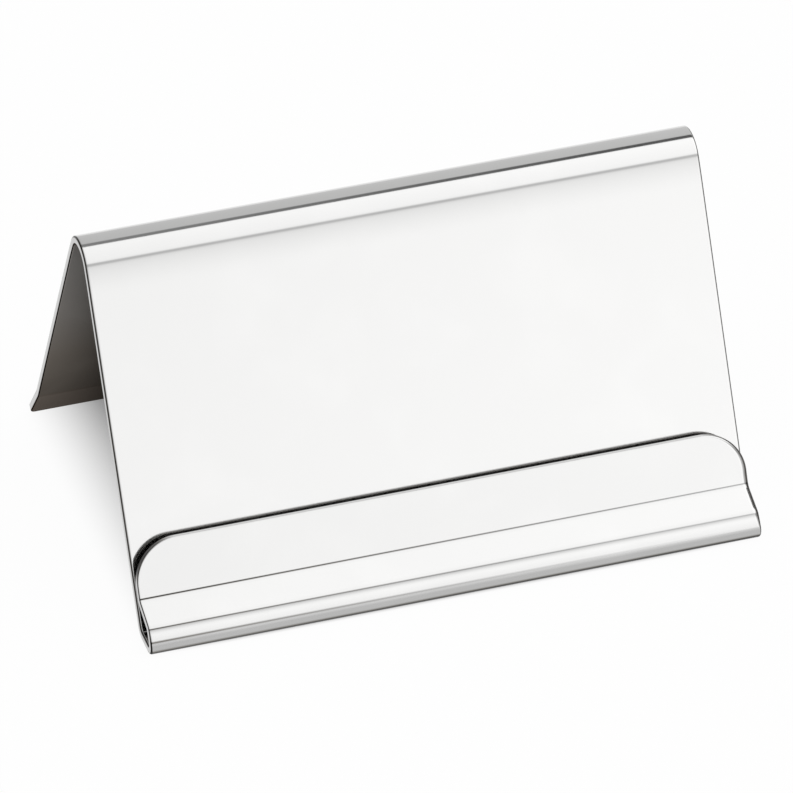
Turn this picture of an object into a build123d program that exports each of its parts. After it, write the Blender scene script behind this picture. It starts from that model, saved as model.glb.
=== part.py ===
"""Place card holder: one strip of polished stainless sheet, folded into a small tent with a sprung card lip.

The strip runs from the flared rear toe up the leg, over the ridge, down the front panel, round the heel
into a short flat base, back on itself in a rolled curl, and up again as the lip that holds the card.
It is divided at its bend lines, and the curl again at its nose, and the zones meet face to face. +X runs
along the width, the card faces -Y and +Z is up. The origin lies on the table, in the middle of the footprint.
"""

import os
from math import cos, radians, sin

from build123d import *

# Sheet blank
width = 60.0
sheet = 0.8
edge_radius = 0.25

# Tent: leans are degrees from the vertical
stand_height = 32.5
panel_lean = 27.75
leg_lean = 27.75
ridge_inner_radius = 2.1

# Rear toe: the last stretch of the leg, bent outwards
toe_flare = 10.0
toe_bend_radius = 3.0
toe_length = 4.8

# Front foot: the leaf rises from the curl, in degrees above the table
base_length = 2.0
heel_inner_radius = 0.7
curl_inner_radius = 0.7
leaf_rise = 21.5

# Card lip: the slot is narrowest at the crease, and the strip above it flares away from the panel
slot_gap = 0.6
lip_flare = 3.0
crease_radius = 0.3
lip_side = 1.1
lip_corner_radius = 4.2


def toward(angle):
    """Unit step in the profile, at an angle in degrees from +Y towards +Z."""
    return Vector(0, cos(radians(angle)), sin(radians(angle)))


# Directions in the profile
panel_rise = 90 - panel_lean
panel_normal = toward(180 - panel_lean)
leg_normal = toward(leg_lean)
toe_lean = leg_lean + toe_flare
toe_normal = toward(toe_lean)
lip_lean = panel_lean - lip_flare
lip_rise = 90 - lip_lean

# Foot: the curl's centre stands over y = 0 until the whole profile is centred
curl_centre = Vector(0, 0, sheet + curl_inner_radius)
heel_centre = Vector(0, base_length, sheet + heel_inner_radius)
panel_foot = heel_centre + toward(-panel_lean) * (heel_inner_radius + sheet)

# Ridge: its height fixes how far the panel reaches
ridge_outer_radius = ridge_inner_radius + sheet
panel_top_z = stand_height - ridge_outer_radius + ridge_inner_radius * panel_normal.Z
panel_length = (panel_top_z - panel_foot.Z) / toward(panel_rise).Z
ridge_centre = panel_foot + toward(panel_rise) * panel_length - panel_normal * ridge_inner_radius

# Rear leg and toe, from the toe's rounded lower corner on the table up to the ridge
corner_trim = edge_radius * (toe_normal.Y + toe_normal.Z - 1)
toe_start_z = toe_length * toe_normal.Y + sheet * toe_normal.Z - corner_trim
leg_foot_z = toe_start_z + toe_bend_radius * (toe_normal.Z - leg_normal.Z)
leg_top = ridge_centre + leg_normal * ridge_outer_radius
leg_length = (leg_top.Z - leg_foot_z) / leg_normal.Y
leg_foot = leg_top + toward(leg_lean - 90) * leg_length
toe_centre = leg_foot + leg_normal * toe_bend_radius
toe_tip = toe_centre - toe_normal * toe_bend_radius + toward(toe_lean - 90) * toe_length

# Lip: the leaf runs back until its crease leaves the slot in front of the panel
leaf_normal = toward(90 + leaf_rise)
panel_face = panel_foot + panel_normal * sheet
crease_at_curl = curl_centre + leaf_normal * (curl_inner_radius + sheet + crease_radius)
crease_clear = (crease_at_curl - panel_face).dot(panel_normal) - (crease_radius + sheet + slot_gap)
leaf_length = -crease_clear / toward(leaf_rise).dot(panel_normal)
crease_centre = crease_at_curl + toward(leaf_rise) * leaf_length
lip_foot = crease_centre + toward(-lip_lean) * (crease_radius + sheet)
lip_height = lip_side + lip_corner_radius

# Footprint: from the curl's nose to the toe's rounded tip
foot_front = -(curl_inner_radius + sheet)
toe_rear = toe_tip.Y - corner_trim
centring = Vector(0, -(foot_front + toe_rear) / 2, 0)

os.makedirs("parts", exist_ok=True)


def flat_zone(label, start, angle, length):
    """Flat stretch of sheet from start, running at angle, with its thickness on the left of the run."""
    run = Plane(origin=start + centring, x_dir=toward(angle), z_dir=(1, 0, 0))
    with BuildPart() as zone:
        with BuildSketch(run):
            Rectangle(length, sheet, align=(Align.MIN, Align.MIN))
        extrude(amount=width / 2, both=True)
        fillet(zone.edges().filter_by(Axis(run.origin, run.x_dir)), edge_radius)
    zone.part.label = label
    export_step(zone.part, f"parts/{label}.step")


def bend_zone(label, centre, inner_radius, start_angle, sweep):
    """Bent stretch of sheet round a centre line along X, turned anticlockwise by sweep."""
    profile = Plane(origin=centre + centring, x_dir=(0, 1, 0), z_dir=(1, 0, 0))
    with BuildPart() as zone:
        with BuildSketch(profile):
            with BuildLine():
                inner = CenterArc((0, 0), inner_radius, start_angle, sweep)
                outer = CenterArc((0, 0), inner_radius + sheet, start_angle, sweep)
                Line(inner @ 0, outer @ 0)
                Line(inner @ 1, outer @ 1)
            make_face()
        extrude(amount=width / 2, both=True)
        fillet(zone.edges().filter_by(GeomType.CIRCLE), edge_radius)
    zone.part.label = label
    export_step(zone.part, f"parts/{label}.step")


# Rear toe: a slight bend, hollow side up, then a flat run to the table with its cut edge rounded
toe_plane = Plane(origin=toe_centre + centring, x_dir=(0, 1, 0), z_dir=(1, 0, 0))
with BuildPart() as rear_toe:
    with BuildSketch(toe_plane):
        with BuildLine():
            upper_bend = CenterArc((0, 0), toe_bend_radius, 180 + leg_lean, toe_flare)
            lower_bend = CenterArc((0, 0), toe_bend_radius + sheet, 180 + leg_lean, toe_flare)
            upper_run = Line(upper_bend @ 1, upper_bend @ 1 + (upper_bend % 1) * toe_length)
            lower_run = Line(lower_bend @ 1, lower_bend @ 1 + (lower_bend % 1) * toe_length)
            Line(upper_run @ 1, lower_run @ 1)
            Line(upper_bend @ 0, lower_bend @ 0)
        make_face()
    extrude(amount=width / 2, both=True)
    toe_run = Axis(toe_tip + centring, toward(toe_lean - 90))
    rim = rear_toe.edges().filter_by(GeomType.CIRCLE) + rear_toe.edges().filter_by(toe_run)
    fillet(rim + rear_toe.faces().sort_by(toe_run)[-1].edges().filter_by(Axis.X), edge_radius)
rear_toe.part.label = "rear_toe"
export_step(rear_toe.part, "parts/rear_toe.step")

flat_zone("rear_leg", leg_foot, 90 + leg_lean, leg_length)
bend_zone("ridge_bend", ridge_centre, ridge_inner_radius, leg_lean, 180 - leg_lean - panel_lean)
flat_zone("front_panel", panel_foot, panel_rise, panel_length)
bend_zone("heel_bend", heel_centre, heel_inner_radius, -90, panel_rise)
flat_zone("foot_base", Vector(0, 0, 0), 0, base_length)
bend_zone("foot_curl_lower", curl_centre, curl_inner_radius, 180, 90)
bend_zone("foot_curl_upper", curl_centre, curl_inner_radius, 90 + leaf_rise, 90 - leaf_rise)
flat_zone("lip_leaf", curl_centre + leaf_normal * curl_inner_radius, leaf_rise, leaf_length)
bend_zone("lip_crease", crease_centre, crease_radius, leaf_rise - 90, lip_rise - leaf_rise)

# Lip strip: its upper corners are cut round, and every free edge is rounded
strip_plane = Plane(origin=lip_foot + centring, x_dir=(1, 0, 0), z_dir=toward(180 - lip_lean))
with BuildPart() as lip_strip:
    with BuildSketch(strip_plane) as strip_blank:
        Rectangle(width, lip_height, align=(Align.CENTER, Align.MIN))
        fillet(strip_blank.vertices().group_by(Axis.Y)[-1], lip_corner_radius)
    extrude(amount=sheet)
    skin_edges = lip_strip.faces().filter_by(strip_plane).edges()
    fillet(skin_edges - lip_strip.faces().sort_by(Axis.Z)[0].edges(), edge_radius)
lip_strip.part.label = "lip_strip"
export_step(lip_strip.part, "parts/lip_strip.step")
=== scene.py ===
"""Looks of the place card holder: a strip of mirror-polished steel, folded into a tent with a card lip.

The strip is two pieces that meet under the front foot. The stand runs from there along the base, up the
panel, over the ridge and down the rear leg. The lip runs the other way, round the curl and up to its
rounded top. Each is a flat blank that one rule folds, zone by zone. Lengths are metres, +Z is up.
"""

from math import cos, pi, radians, sin

import bpy
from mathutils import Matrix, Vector


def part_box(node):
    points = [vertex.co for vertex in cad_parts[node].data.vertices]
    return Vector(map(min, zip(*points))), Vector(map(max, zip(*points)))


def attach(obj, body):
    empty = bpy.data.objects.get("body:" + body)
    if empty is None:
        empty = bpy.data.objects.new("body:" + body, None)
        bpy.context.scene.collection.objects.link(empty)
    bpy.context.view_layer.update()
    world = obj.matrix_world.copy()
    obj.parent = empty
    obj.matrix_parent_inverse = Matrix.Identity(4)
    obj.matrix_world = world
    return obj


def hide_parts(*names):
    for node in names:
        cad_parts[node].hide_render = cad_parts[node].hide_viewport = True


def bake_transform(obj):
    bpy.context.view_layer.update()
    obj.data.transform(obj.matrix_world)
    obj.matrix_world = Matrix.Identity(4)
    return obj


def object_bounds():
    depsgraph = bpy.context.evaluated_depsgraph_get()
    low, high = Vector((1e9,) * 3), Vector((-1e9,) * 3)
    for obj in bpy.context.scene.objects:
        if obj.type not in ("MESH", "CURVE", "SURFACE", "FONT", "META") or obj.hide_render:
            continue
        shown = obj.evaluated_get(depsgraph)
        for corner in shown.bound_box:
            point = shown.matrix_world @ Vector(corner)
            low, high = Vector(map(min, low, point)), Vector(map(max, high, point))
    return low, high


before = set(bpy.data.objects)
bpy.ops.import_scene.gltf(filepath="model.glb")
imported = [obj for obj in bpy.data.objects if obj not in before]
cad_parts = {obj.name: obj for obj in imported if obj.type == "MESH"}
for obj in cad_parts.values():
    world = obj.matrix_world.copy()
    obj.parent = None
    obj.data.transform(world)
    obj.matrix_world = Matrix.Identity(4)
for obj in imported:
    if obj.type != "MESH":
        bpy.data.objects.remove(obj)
cad_low, cad_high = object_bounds()
scene = bpy.context.scene
scene.view_settings.view_transform = "Standard"

# Blank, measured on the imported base
base_low, base_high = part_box("foot_base")
WIDTH = base_high.x - base_low.x
SHEET = base_high.z - base_low.z
BASE_LENGTH = base_high.y - base_low.y
BACK_EDGE_RADIUS = 0.00012

# Edges on the show face: a radius, and the share of the turn from face to cut edge that was finished,
# which also carries the painted dark reflection of the edge
STAND_EDGE = (0.0002, 1.0)
LIP_LEFT_EDGE = (0.00012, 1.0)
LIP_RIGHT_EDGE = (0.0006, 1.0)
LIP_TOP_EDGE = (0.0001, 0.15)

# Stretch of the strip over which the stand's edge passes into the lip's
EDGE_CHANGE_START = 0.0012
EDGE_CHANGE_LENGTH = 0.0018

# Folds: leans are from the vertical, the leaf's rise is from the table
PANEL_LEAN = radians(27.75)
LEG_LEAN = radians(27.75)
TOE_FLARE = radians(10.0)
LEAF_RISE = radians(21.5)
NOSE_FOOT_LEAN = radians(16.0)
NOSE_TOP_LEAN = radians(33.0)
LIP_LEAN = radians(24.75)
SHOULDER_TURN = radians(2.4)

# Bend radii on the hollow side of each bend
HEEL_RADIUS = 0.0007
RIDGE_RADIUS = 0.0021
TOE_BEND_RADIUS = 0.003
FOOT_RADIUS = 0.00025
CREASE_RADIUS = 0.0008

# Short lengths
NOSE_LENGTH = 0.001448
LEAF_LENGTH = 0.002254
SHOULDER_LENGTH = 0.0026
SHOULDER_RISE = 0.00024
TOE_LENGTH = 0.00474
TOE_CORNER_RADIUS = 0.0005
LIP_SIDE = 0.00095
LIP_CORNER_RADIUS = 0.0042

# Painted shade and dark reflections in the bends: place and reach along a zone, depth at the left end
# and at the right end
FOOT_BEND_SHADE = (0.44, 0.34, 2.3, 3.0)
NOSE_SHADE = (0.24, 0.1, 1.6, 0.0)
LEAF_BEND_SHADE = (0.15, 0.15, 1.8, 0.1)
CREASE_SHADE = (0.74, 0.2, 2.1, 0.5)

# Painted shade over the foot's lower band: a painted band at place 0 also covers the whole strip before
# its zone
FOOT_BAND_SHADE = (0.0, 0.22, 0.5, 0.5)

# Meshes: rows along each zone, steps across it, and how they are spaced, joined and shaded
FLAT_ROWS = 16
SHOULDER_ROWS = 12
TOE_BEND_ROWS = 8
TIGHT_BEND_ROWS = 32
NOSE_ROWS = 40
FOOT_ROWS = 48
RIDGE_ROWS = 64
CORNER_ROWS = 32
EDGE_STEPS = 8
SKIN_STEPS = 24
CROWDING = 0.96
WELD_DISTANCE = 1e-6
SHARP_ANGLE = radians(50)

# Steel: start and end of each finish and painted shade, by depth in the sheet, turn of the edge or
# place along the strip
FACE_SPAN = (SHEET * -0.4, SHEET * -0.3)
CUT_SPAN = (0.7, 1.0)
DEBURRED_SHADED_SPAN = (0.1, 0.4)
DEBURRED_SHADED_END = (0.98, 0.8)
TOE_SHADE_SPAN = (0.045, 0.080)
SMUDGE_SPAN = (0.45, 0.75)

# Steel brightness of the back, darkened with painted shade for the inside of the tent, and what each
# finish or painted shade adds or takes
SHADED_BACK_TONE = 0.275
FACE_TONE = 0.385
SMUDGE_TONE = 0.02
BEND_SHADE_TONE = -0.36
EDGE_SHADE_TONE = -0.62
CUT_TONE = -0.2
TOE_SHADE_TONE = -0.215

# Steel colours by brightness, and at a low angle on the back and on the face; the warm dark colours and
# the brown low-angle tint of the back are painted shade for the inside of the tent
STEEL_TINT = [(0.0, (0.0, 0.0, 0.0)), (0.15, (0.15, 0.138, 0.124)), (0.45, (0.45, 0.449, 0.446)),
              (1.0, (1.0, 0.998, 0.992))]
LOW_ANGLE_TINT = [(0.0, (0.5, 0.47, 0.45)), (1.0, (1.0, 1.0, 1.0))]

# Steel roughness of the plain back, and what each finish adds or takes
BACK_ROUGHNESS = 0.18
FACE_ROUGHNESS = -0.12
LINE_ROUGHNESS = 0.06
SMUDGE_ROUGHNESS = 0.03
BEND_SHADE_ROUGHNESS = 0.06
DEBURRED_ROUGHNESS = 0.2

# Polishing lines run along the strip, much finer across it than along it
LINE_SCALE = (9000, 60, 9000)
LINE_HEIGHT = 0.000001
LINE_STRENGTH = 0.1
SMUDGE_SCALE = 110.0

# Light tent: brightness by degrees of turn, from the front horizon over the zenith to the rear horizon
HALF_TURN = 180
LIGHT_BANDS = [(0, 1.27), (8, 1.33), (18, 1.41), (20.5, 1.37), (23, 1.27), (26, 1.04), (29, 0.76),
               (32, 0.68), (35.5, 0.72), (39, 1.22), (43, 1.34), (96, 1.42), (104, 1.42), (107, 0.1),
               (118, 0.1), (121, 0.72), (180, 0.76)]
SEAM_START = (104, 107)
SEAM_END = (121, 118)
LIGHT_SCALE = 2

# Light tent: where it changes from side to side, and by how much
PALE_SEAM_SPAN = (0.29, 0.21)
PALE_SEAM_LIGHT = 0.11
LEFT_TO_RIGHT_SPAN = (-0.4, 0.5)
LEFT_LIGHT = 0.505
RIGHT_LIGHT_GAIN = 0.61
GAP_SIDE_SPAN = (0.42, 0.6)
GAP_HEIGHT_SPAN = (0.6, 0.35)
GAP_LOSS = -0.5

# Floor: its colour, and where its shade fades to white, measured from the object's ends, front and rear
FLOOR_SIDE = 40.0
FLOOR_GREY = 0.95
FLOOR_ROUGHNESS = 0.9
END_FADE = (-0.011, 0.001)
FRONT_FADE = (0.0018, 0.0006)
REAR_FADE = (0.0, 0.004)
WHITE_SHARE = 0.97

# View of the photograph: the camera stands to the left and above, with a long lens
VIEW_AZIMUTH = radians(-17.82)
VIEW_ELEVATION = radians(35.66)
VIEW_DISTANCE = 0.8
AIM_ASIDE = -0.00555
AIM_ABOVE = 0.018385
LENS_MM = 388.28


def leaning_length(node, lean):
    """Length of a flat zone that leans from the vertical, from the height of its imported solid."""
    low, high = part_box(node)
    return (high.z - low.z - SHEET * sin(lean)) / cos(lean)


class Term:
    """A value in a node tree. Sums and products of terms add Math nodes to the tree."""

    def __init__(self, tree, socket):
        self.tree = tree
        self.socket = socket

    def math(self, operation, *others, clamp=False):
        node = self.tree.nodes.new("ShaderNodeMath")
        node.operation = operation
        node.use_clamp = clamp
        for socket, value in zip(node.inputs, (self, *others)):
            if isinstance(value, Term):
                self.tree.links.new(value.socket, socket)
            else:
                socket.default_value = value
        return Term(self.tree, node.outputs[0])

    def __add__(self, other):
        return self.math("ADD", other)

    def __sub__(self, other):
        return self.math("SUBTRACT", other)

    def __mul__(self, other):
        return self.math("MULTIPLY", other)

    def __truediv__(self, other):
        return self.math("DIVIDE", other)

    def rest(self):
        """What is left of one whole."""
        return self * -1 + 1

    def share_of(self, start, count):
        """0 before start, 1 after start + count, and even steps between."""
        return (self - start).math("DIVIDE", count, clamp=True)

    def sin(self):
        return self.math("SINE")

    def cos(self):
        return self.math("COSINE")


def new_node(tree, kind, links=(), **settings):
    """Node with its settings, and its inputs linked or set."""
    made = tree.nodes.new(kind)
    for key, value in settings.items():
        setattr(made, key, value)
    for name, value in dict(links).items():
        if isinstance(value, Term):
            tree.links.new(value.socket, made.inputs[name])
        elif isinstance(value, bpy.types.NodeSocket):
            tree.links.new(value, made.inputs[name])
        else:
            made.inputs[name].default_value = value
    return made


def crowded(share):
    """Even steps drawn towards both ends, so that bends and edges don't tilt the flats beside them."""
    return share - (share * (2 * pi)).sin() * (CROWDING / (2 * pi))


class FoldingRule:
    """Geometry Nodes tree that folds a blank. Rows run from the cut under the foot to the free end."""

    def __init__(self, name, zones):
        self.tree = bpy.data.node_groups.new(name, "GeometryNodeTree")
        self.values = {}
        self.tree.interface.new_socket("Geometry", in_out="OUTPUT", socket_type="NodeSocketGeometry")
        self.inputs = self.tree.nodes.new("NodeGroupInput")
        self.zones = zones
        self.columns = 2 * SKIN_STEPS + 2 * (2 * EDGE_STEPS + 1) + 1
        self.rows = sum(zone["rows"] for zone in zones) + CORNER_ROWS + EDGE_STEPS + 3

    def size(self, name, value, kind="NodeSocketFloat"):
        """Named input of the tree, with the value that the modifier gives it."""
        item = self.tree.interface.new_socket(name, in_out="INPUT", socket_type=kind)
        self.values[item.identifier] = value
        return Term(self.tree, self.inputs.outputs[item.identifier])

    def node(self, kind, links=(), **settings):
        return new_node(self.tree, kind, links, **settings)

    def vector(self, x, y, z):
        return self.node("ShaderNodeCombineXYZ", {"X": x, "Y": y, "Z": z}).outputs[0]

    def worked(self, geometry, kind, links=(), **settings):
        """Geometry after one more node."""
        return self.node(kind, {"Geometry": geometry, **dict(links)}, **settings).outputs[0]

    def noted(self, geometry, name, value, data_type="FLOAT"):
        """Geometry whose points carry a named value for the material."""
        return self.worked(geometry, "GeometryNodeStoreNamedAttribute", {"Name": name, "Value": value},
                           data_type=data_type, domain="POINT")

    def section(self, column):
        """Place across the blank from -1 to 1, turn of its edge, and 1 above or -1 below the middle."""
        turn_steps = 2 * EDGE_STEPS + 1
        across_upper = crowded(column.share_of(0, SKIN_STEPS))
        across_lower = crowded(column.share_of(SKIN_STEPS + turn_steps, SKIN_STEPS))
        across = (across_upper - across_lower) * 2 - 1
        going_down = column.share_of(SKIN_STEPS, turn_steps)
        coming_up = column.share_of(2 * SKIN_STEPS + turn_steps, turn_steps)
        step = (going_down - coming_up) * turn_steps
        from_upper = step.math("DIVIDE", EDGE_STEPS, clamp=True)
        from_lower = (step * -1 + turn_steps).math("DIVIDE", EDGE_STEPS, clamp=True)
        turn = from_upper.math("MINIMUM", from_lower) * (pi / 2)
        side = step.math("LESS_THAN", EDGE_STEPS + 0.5) * 2 - 1
        return across, turn, side

    def fold(self, row, across, start_row, y, z, heading):
        """Middle line of the sheet at a row: place, heading, length behind it, and the painted shade of
        the bends.
        """
        along, bend_shade = row * 0, row * 0
        y = self.size("Start y", y)
        z = self.size("Start z", z)
        heading = self.size("Start heading", heading)
        begins = heading
        for zone in self.zones:
            length = self.size(zone["name"] + " length", zone["length"])
            share = row.share_of(start_row, zone["rows"])
            start_row += zone["rows"]
            if zone["turn"]:
                turn = self.size(zone["name"] + " turn", zone["turn"])
                radius = length / turn
                now = begins + share * turn
                y = y + radius * (now.sin() - begins.sin())
                z = z + radius * (begins.cos() - now.cos())
                heading = heading + share * turn
                begins = begins + turn
            else:
                share = crowded(share)
                y = y + length * share * begins.cos()
                z = z + length * share * begins.sin()
            along = along + length * share
            for place, reach, left_depth, right_depth in zone["bend_shades"]:
                off = (share - place).math("ABSOLUTE") / reach
                depth = across * ((right_depth - left_depth) / 2) + (right_depth + left_depth) / 2
                bend_shade = bend_shade + off.rest().math("MAXIMUM", 0) * depth
        return y, z, heading, along, bend_shade

    def edge_sizes(self, edges, across, along, corner_share):
        """Radius and finished turn of the show edge, along the strip and round its corners."""
        changed = along.share_of(EDGE_CHANGE_START, EDGE_CHANGE_LENGTH)
        for index, size in enumerate(("radius", "finished turn")):
            cut, left, right, end = (self.size(f"{place} edge {size}", edge[index])
                                     for place, edge in zip(("Cut", "Left", "Right", "End"), edges))
            side = left + (right - left) * (across * 0.5 + 0.5)
            beside = cut + (side - cut) * changed
            yield beside + (end - beside) * corner_share

    def build(self, start, heading, corner_radius, edges, material):
        """Whole tree, from a grid to the folded strip with its finish."""
        half_width = self.size("Width", WIDTH) * 0.5
        half_sheet = self.size("Sheet", SHEET) * 0.5
        back_edge = self.size("Back edge radius", BACK_EDGE_RADIUS)
        corner = self.size("Corner radius", corner_radius)
        finish = self.size("Finish", material, "NodeSocketMaterial")

        grid = self.node("GeometryNodeMeshGrid", {"Vertices X": self.rows, "Vertices Y": self.columns})
        index = Term(self.tree, self.node("GeometryNodeInputIndex").outputs[0])
        row = (index / self.columns + 0.5 / self.columns).math("FLOOR")
        column = index - row * self.columns

        # The corner turns from the side edge to the end edge, which then rolls over like the sides
        corner_row = self.rows - CORNER_ROWS - EDGE_STEPS - 2
        corner_share = row.share_of(corner_row, CORNER_ROWS)
        corner_turn = corner_share * (pi / 2)
        end_turn = row.share_of(corner_row + CORNER_ROWS, EDGE_STEPS) * (pi / 2)
        across, side_turn, side = self.section(column)
        turn = side_turn.math("MAXIMUM", end_turn)
        y, z, heading, along, bend_shade = self.fold(row, across, 1, start.y, start.z, heading)
        show_edge, finished_turn = self.edge_sizes((STAND_EDGE, *edges), across, along, corner_share)
        edge = show_edge * (side * 0.5 + 0.5) + back_edge * (side * -0.5 + 0.5)
        reach = corner - edge + edge * turn.sin()
        closed_rows = row.math("COMPARE", 0, 0.5) + row.math("COMPARE", self.rows - 1, 0.5)
        height = side * (half_sheet - edge + edge * turn.cos()) * closed_rows.rest()

        past = reach * corner_turn.sin()
        x = across * (half_width - corner + reach * corner_turn.cos())
        y = y + past * heading.cos() - height * heading.sin()
        z = z + past * heading.sin() + height * heading.cos()

        place = self.vector(x, y, z)
        strip = self.worked(grid.outputs["Mesh"], "GeometryNodeSetPosition", {"Position": place})
        strip = self.noted(strip, "blank", self.vector(x, along + past, height), "FLOAT_VECTOR")
        strip = self.noted(strip, "rim", turn * finished_turn / (pi / 2))
        # The painted shade of the bends goes on the points for the material
        strip = self.noted(strip, "bend_shade", bend_shade)
        strip = self.worked(strip, "GeometryNodeMergeByDistance", {"Distance": WELD_DISTANCE})
        strip = self.worked(strip, "GeometryNodeSetShadeSmooth", {"Shade Smooth": True}, domain="FACE")
        angle = Term(self.tree, self.node("GeometryNodeInputMeshEdgeAngle").outputs["Unsigned Angle"])
        sharp = angle.math("GREATER_THAN", SHARP_ANGLE)
        strip = self.worked(strip, "GeometryNodeSetShadeSmooth",
                            {"Shade Smooth": False, "Selection": sharp}, domain="EDGE")
        strip = self.worked(strip, "GeometryNodeRealizeInstances")
        strip = self.worked(strip, "GeometryNodeSetMaterial", {"Material": finish})
        self.node("NodeGroupOutput", {"Geometry": strip})


def flat(name, length):
    return {"name": name, "length": length, "turn": 0.0, "rows": FLAT_ROWS, "bend_shades": ()}


def sweep(name, length, turn, rows, *bend_shades):
    """Bend whose length along the middle line is given."""
    return {"name": name, "length": length, "turn": turn, "rows": rows, "bend_shades": bend_shades}


def bend(name, radius, turn, rows, *bend_shades):
    """Bend of the middle line, which lies half the sheet outside the hollow side."""
    return sweep(name, (radius + SHEET / 2) * abs(turn), turn, rows, *bend_shades)


def folded_piece(name, zones, heading, corner_radius, edges, material):
    """Plain mesh of a folded strip that starts at the cut under the front foot."""
    rule = FoldingRule(name + "_rule", zones)
    start = Vector((0, base_low.y, base_low.z + SHEET / 2))
    rule.build(start, heading, corner_radius, edges, material)
    piece = bpy.data.objects.new(name, bpy.data.meshes.new(name + "_blank"))
    scene.collection.objects.link(piece)
    folding = piece.modifiers.new("folding", "NODES")
    folding.node_group = rule.tree
    for identifier, value in rule.values.items():
        folding[identifier] = value
    evaluated = piece.evaluated_get(bpy.context.evaluated_depsgraph_get())
    mesh = bpy.data.meshes.new_from_object(evaluated)
    piece.modifiers.remove(folding)
    piece.data = mesh
    mesh.name = name
    return piece


def ramp(tree, share, stops):
    """Colour that runs through the given stops."""
    node = new_node(tree, "ShaderNodeValToRGB", {"Fac": share})
    elements = node.color_ramp.elements
    while len(elements) < len(stops):
        elements.new(1.0)
    for element, (place, colour) in zip(elements, stops):
        element.position = place
        element.color = (*colour, 1)
    return Term(tree, node.outputs["Color"])


def smooth_step(tree, value, start, end):
    """0 up to start, 1 from end, and a soft change between. End may lie below start."""
    node = new_node(tree, "ShaderNodeMapRange", {"Value": value, "From Min": start, "From Max": end},
                    interpolation_type="SMOOTHSTEP")
    return Term(tree, node.outputs["Result"])


def noted_value(tree, name, output):
    """Value that the folding rule noted on the points."""
    return Term(tree, new_node(tree, "ShaderNodeAttribute", attribute_name=name).outputs[output])


def noise(tree, place, **sizes):
    node = new_node(tree, "ShaderNodeTexNoise", {"Vector": place, **sizes})
    return Term(tree, node.outputs["Fac"])


def axes(tree, place):
    """The three numbers of a place."""
    split = new_node(tree, "ShaderNodeSeparateXYZ", {0: place})
    return [Term(tree, split.outputs[axis]) for axis in "XYZ"]


def polished_steel():
    """Stainless sheet: a mirror-polished face, a satin back darkened with painted shade, painted shade
    in the bends, and deburred edges darkened with painted dark reflections.
    """
    material = bpy.data.materials.new("polished_steel")
    material.use_nodes = True
    tree = material.node_tree
    shader = tree.nodes["Principled BSDF"]
    shader.inputs["Metallic"].default_value = 1.0
    blank = noted_value(tree, "blank", "Vector")
    rim = noted_value(tree, "rim", "Fac")
    bend_shade = noted_value(tree, "bend_shade", "Fac")
    along, depth = axes(tree, blank)[1:]

    # Finishes and painted shade: the painted shade of the bends stays off the cut edge, and painted
    # shade darkens the back towards the toe
    face = smooth_step(tree, depth, *FACE_SPAN)
    cut = smooth_step(tree, rim, *CUT_SPAN)
    bend_shade = bend_shade * cut.rest()
    # Painted dark reflection on the show edges, over their deburred, rougher rim
    deburred_and_shaded_edge = smooth_step(tree, rim, *DEBURRED_SHADED_SPAN) * smooth_step(tree, rim, *DEBURRED_SHADED_END)
    toe_shade = smooth_step(tree, along, *TOE_SHADE_SPAN) * face.rest()
    line_place = new_node(tree, "ShaderNodeMapping", {"Vector": blank, "Scale": LINE_SCALE}).outputs[0]
    lines = noise(tree, line_place, Scale=1.0, Detail=3.0, Roughness=0.6)
    smudge = noise(tree, blank, Scale=SMUDGE_SCALE, Detail=4.0, Distortion=0.4)
    smudge = smooth_step(tree, smudge, *SMUDGE_SPAN)

    roughness = lines * LINE_ROUGHNESS + smudge * SMUDGE_ROUGHNESS + bend_shade * BEND_SHADE_ROUGHNESS
    roughness = roughness + deburred_and_shaded_edge * DEBURRED_ROUGHNESS + face * FACE_ROUGHNESS + BACK_ROUGHNESS
    tree.links.new(roughness.socket, shader.inputs["Roughness"])

    # Painted shade darkens the tone in the bends, on the show edges, towards the toe and over the whole
    # back
    tone = smudge * SMUDGE_TONE + face * FACE_TONE + bend_shade * BEND_SHADE_TONE + deburred_and_shaded_edge * EDGE_SHADE_TONE
    tone = tone + cut * CUT_TONE + toe_shade * TOE_SHADE_TONE + SHADED_BACK_TONE
    tree.links.new(ramp(tree, tone, STEEL_TINT).socket, shader.inputs["Base Color"])

    # Painted shade: the back's low-angle tint is dark and brown, so the shaded inside of the tent
    # doesn't whiten at a low angle as the polished face does
    tree.links.new(ramp(tree, face, LOW_ANGLE_TINT).socket, shader.inputs["Specular Tint"])
    bump = new_node(tree, "ShaderNodeBump", {"Height": lines, "Strength": LINE_STRENGTH,
                                             "Distance": LINE_HEIGHT})
    tree.links.new(bump.outputs["Normal"], shader.inputs["Normal"])
    return material


def light_tent():
    """Surroundings like a photographer's light tent that runs over the object, dim at the left."""
    world = bpy.data.worlds.new("light_tent")
    world.use_nodes = True
    scene.world = world
    tree = world.node_tree
    x, y, z = axes(tree, new_node(tree, "ShaderNodeTexCoord").outputs["Generated"])
    over = z.math("ARCTAN2", y * -1) / pi
    bands = [(turn / HALF_TURN, (level / LIGHT_SCALE,) * 3) for turn, level in LIGHT_BANDS]
    light = ramp(tree, over, bands)

    # The dark seam behind the zenith is paler towards the left
    seam_start = smooth_step(tree, over, *(turn / HALF_TURN for turn in SEAM_START))
    seam_end = smooth_step(tree, over, *(turn / HALF_TURN for turn in SEAM_END))
    pale_seam = seam_start * seam_end * smooth_step(tree, x, *PALE_SEAM_SPAN)
    light = light + pale_seam * PALE_SEAM_LIGHT

    # Brighter towards the right, with a greyer gap low down there
    sideways = smooth_step(tree, x, *LEFT_TO_RIGHT_SPAN) * RIGHT_LIGHT_GAIN + LEFT_LIGHT
    gap = smooth_step(tree, x, *GAP_SIDE_SPAN) * smooth_step(tree, z, *GAP_HEIGHT_SPAN)
    strength = sideways * (gap * GAP_LOSS + 1) * LIGHT_SCALE
    background = tree.nodes["Background"]
    tree.links.new(light.socket, background.inputs["Color"])
    tree.links.new(strength.socket, background.inputs["Strength"])


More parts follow.
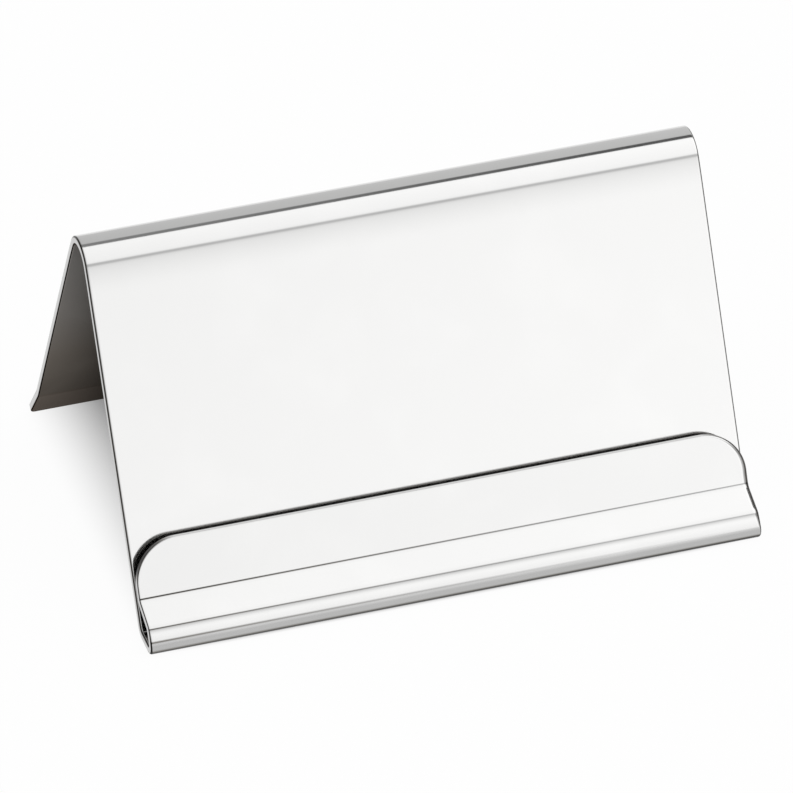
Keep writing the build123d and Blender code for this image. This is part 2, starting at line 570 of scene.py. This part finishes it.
def pale_floor():
    """White table. Away from the object it is as white as the photograph's background."""
    mesh = bpy.data.meshes.new("floor")
    half = FLOOR_SIDE / 2
    corners = [(-half, -half, 0), (half, -half, 0), (half, half, 0), (-half, half, 0)]
    mesh.from_pydata(corners, [], [(0, 1, 2, 3)])
    floor = bpy.data.objects.new("floor", mesh)
    scene.collection.objects.link(floor)
    material = bpy.data.materials.new("pale_floor")
    material.use_nodes = True
    tree = material.node_tree
    shader = tree.nodes["Principled BSDF"]
    shader.inputs["Base Color"].default_value = (FLOOR_GREY, FLOOR_GREY, FLOOR_GREY, 1)
    shader.inputs["Roughness"].default_value = FLOOR_ROUGHNESS
    shader.inputs["Specular IOR Level"].default_value = 0.0

    # The shade stays under the tent and close to it
    x, y = axes(tree, new_node(tree, "ShaderNodeTexCoord").outputs["Object"])[:2]
    aside = smooth_step(tree, x.math("ABSOLUTE"), *(cad_high.x + past for past in END_FADE))
    before = smooth_step(tree, y, *(cad_low.y + past for past in FRONT_FADE))
    behind = smooth_step(tree, y, *(cad_high.y + past for past in REAR_FADE))
    ends = before + behind
    away = aside + ends - aside * ends

    path = new_node(tree, "ShaderNodeLightPath")
    camera, glossy, passing = (Term(tree, path.outputs[f"Is {kind} Ray"])
                               for kind in ("Camera", "Glossy", "Transmission"))
    seen = (camera + glossy + passing).math("MINIMUM", 1)
    white = new_node(tree, "ShaderNodeEmission", {"Color": (1, 1, 1, 1), "Strength": 1.0})
    mixed = new_node(tree, "ShaderNodeMixShader", {0: seen * away * WHITE_SHARE, 1: shader.outputs[0],
                                                   2: white.outputs[0]})
    tree.links.new(mixed.outputs[0], tree.nodes["Material Output"].inputs["Surface"])
    mesh.materials.append(material)


def photo_camera():
    """Camera at the photograph's viewing angle, aimed from the middle of the front foot."""
    lens = bpy.data.cameras.new("photo_camera")
    lens.lens = LENS_MM
    camera = bpy.data.objects.new("photo_camera", lens)
    scene.collection.objects.link(camera)
    level = cos(VIEW_ELEVATION)
    back = Vector((sin(VIEW_AZIMUTH) * level, -cos(VIEW_AZIMUTH) * level, sin(VIEW_ELEVATION)))
    right = Vector((cos(VIEW_AZIMUTH), sin(VIEW_AZIMUTH), 0))
    foot = Vector((0, base_low.y, 0))
    aim = foot + right * AIM_ASIDE + back.cross(right) * AIM_ABOVE
    camera.location = aim + back * VIEW_DISTANCE
    camera.rotation_euler = (-back).to_track_quat("-Z", "Y").to_euler()
    scene.camera = camera


steel = polished_steel()

# Stand: the cut under the foot, base, heel, panel, ridge, rear leg and toe
stand = folded_piece("folded_stand", [
    flat("Base", BASE_LENGTH),
    bend("Heel", HEEL_RADIUS, pi / 2 - PANEL_LEAN, TIGHT_BEND_ROWS),
    flat("Panel", leaning_length("front_panel", PANEL_LEAN) + SHOULDER_RISE - SHOULDER_LENGTH),
    sweep("Panel shoulder", SHOULDER_LENGTH, -SHOULDER_TURN, SHOULDER_ROWS),
    bend("Ridge", RIDGE_RADIUS, PANEL_LEAN + LEG_LEAN + 2 * SHOULDER_TURN - pi, RIDGE_ROWS),
    sweep("Leg shoulder", SHOULDER_LENGTH, -SHOULDER_TURN, SHOULDER_ROWS),
    flat("Leg", leaning_length("rear_leg", LEG_LEAN) + SHOULDER_RISE - SHOULDER_LENGTH),
    bend("Toe bend", TOE_BEND_RADIUS, TOE_FLARE, TOE_BEND_ROWS),
    flat("Toe", TOE_LENGTH - TOE_CORNER_RADIUS),
], 0.0, TOE_CORNER_RADIUS, (STAND_EDGE, STAND_EDGE, STAND_EDGE), steel)
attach(stand, "stand")
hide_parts("rear_toe", "rear_leg", "ridge_bend", "front_panel", "heel_bend", "foot_base")

# Lip: the foot bends with the lip, from the table up to the leaf
lip = folded_piece("sprung_lip", [
    bend("Foot bend", FOOT_RADIUS, -pi / 2 - NOSE_FOOT_LEAN, FOOT_ROWS, FOOT_BEND_SHADE),
    sweep("Nose", NOSE_LENGTH, NOSE_FOOT_LEAN - NOSE_TOP_LEAN, NOSE_ROWS, FOOT_BAND_SHADE, NOSE_SHADE),
    bend("Leaf bend", FOOT_RADIUS, NOSE_TOP_LEAN + LEAF_RISE - pi / 2, TIGHT_BEND_ROWS, LEAF_BEND_SHADE),
    flat("Leaf", LEAF_LENGTH),
    bend("Crease", CREASE_RADIUS, pi / 2 - LIP_LEAN - LEAF_RISE, TIGHT_BEND_ROWS, CREASE_SHADE),
    flat("Lip", LIP_SIDE),
], pi, LIP_CORNER_RADIUS, (LIP_LEFT_EDGE, LIP_RIGHT_EDGE, LIP_TOP_EDGE), steel)
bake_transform(lip)
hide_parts("foot_curl_lower", "foot_curl_upper", "lip_leaf", "lip_crease", "lip_strip")

light_tent()
pale_floor()
photo_camera()
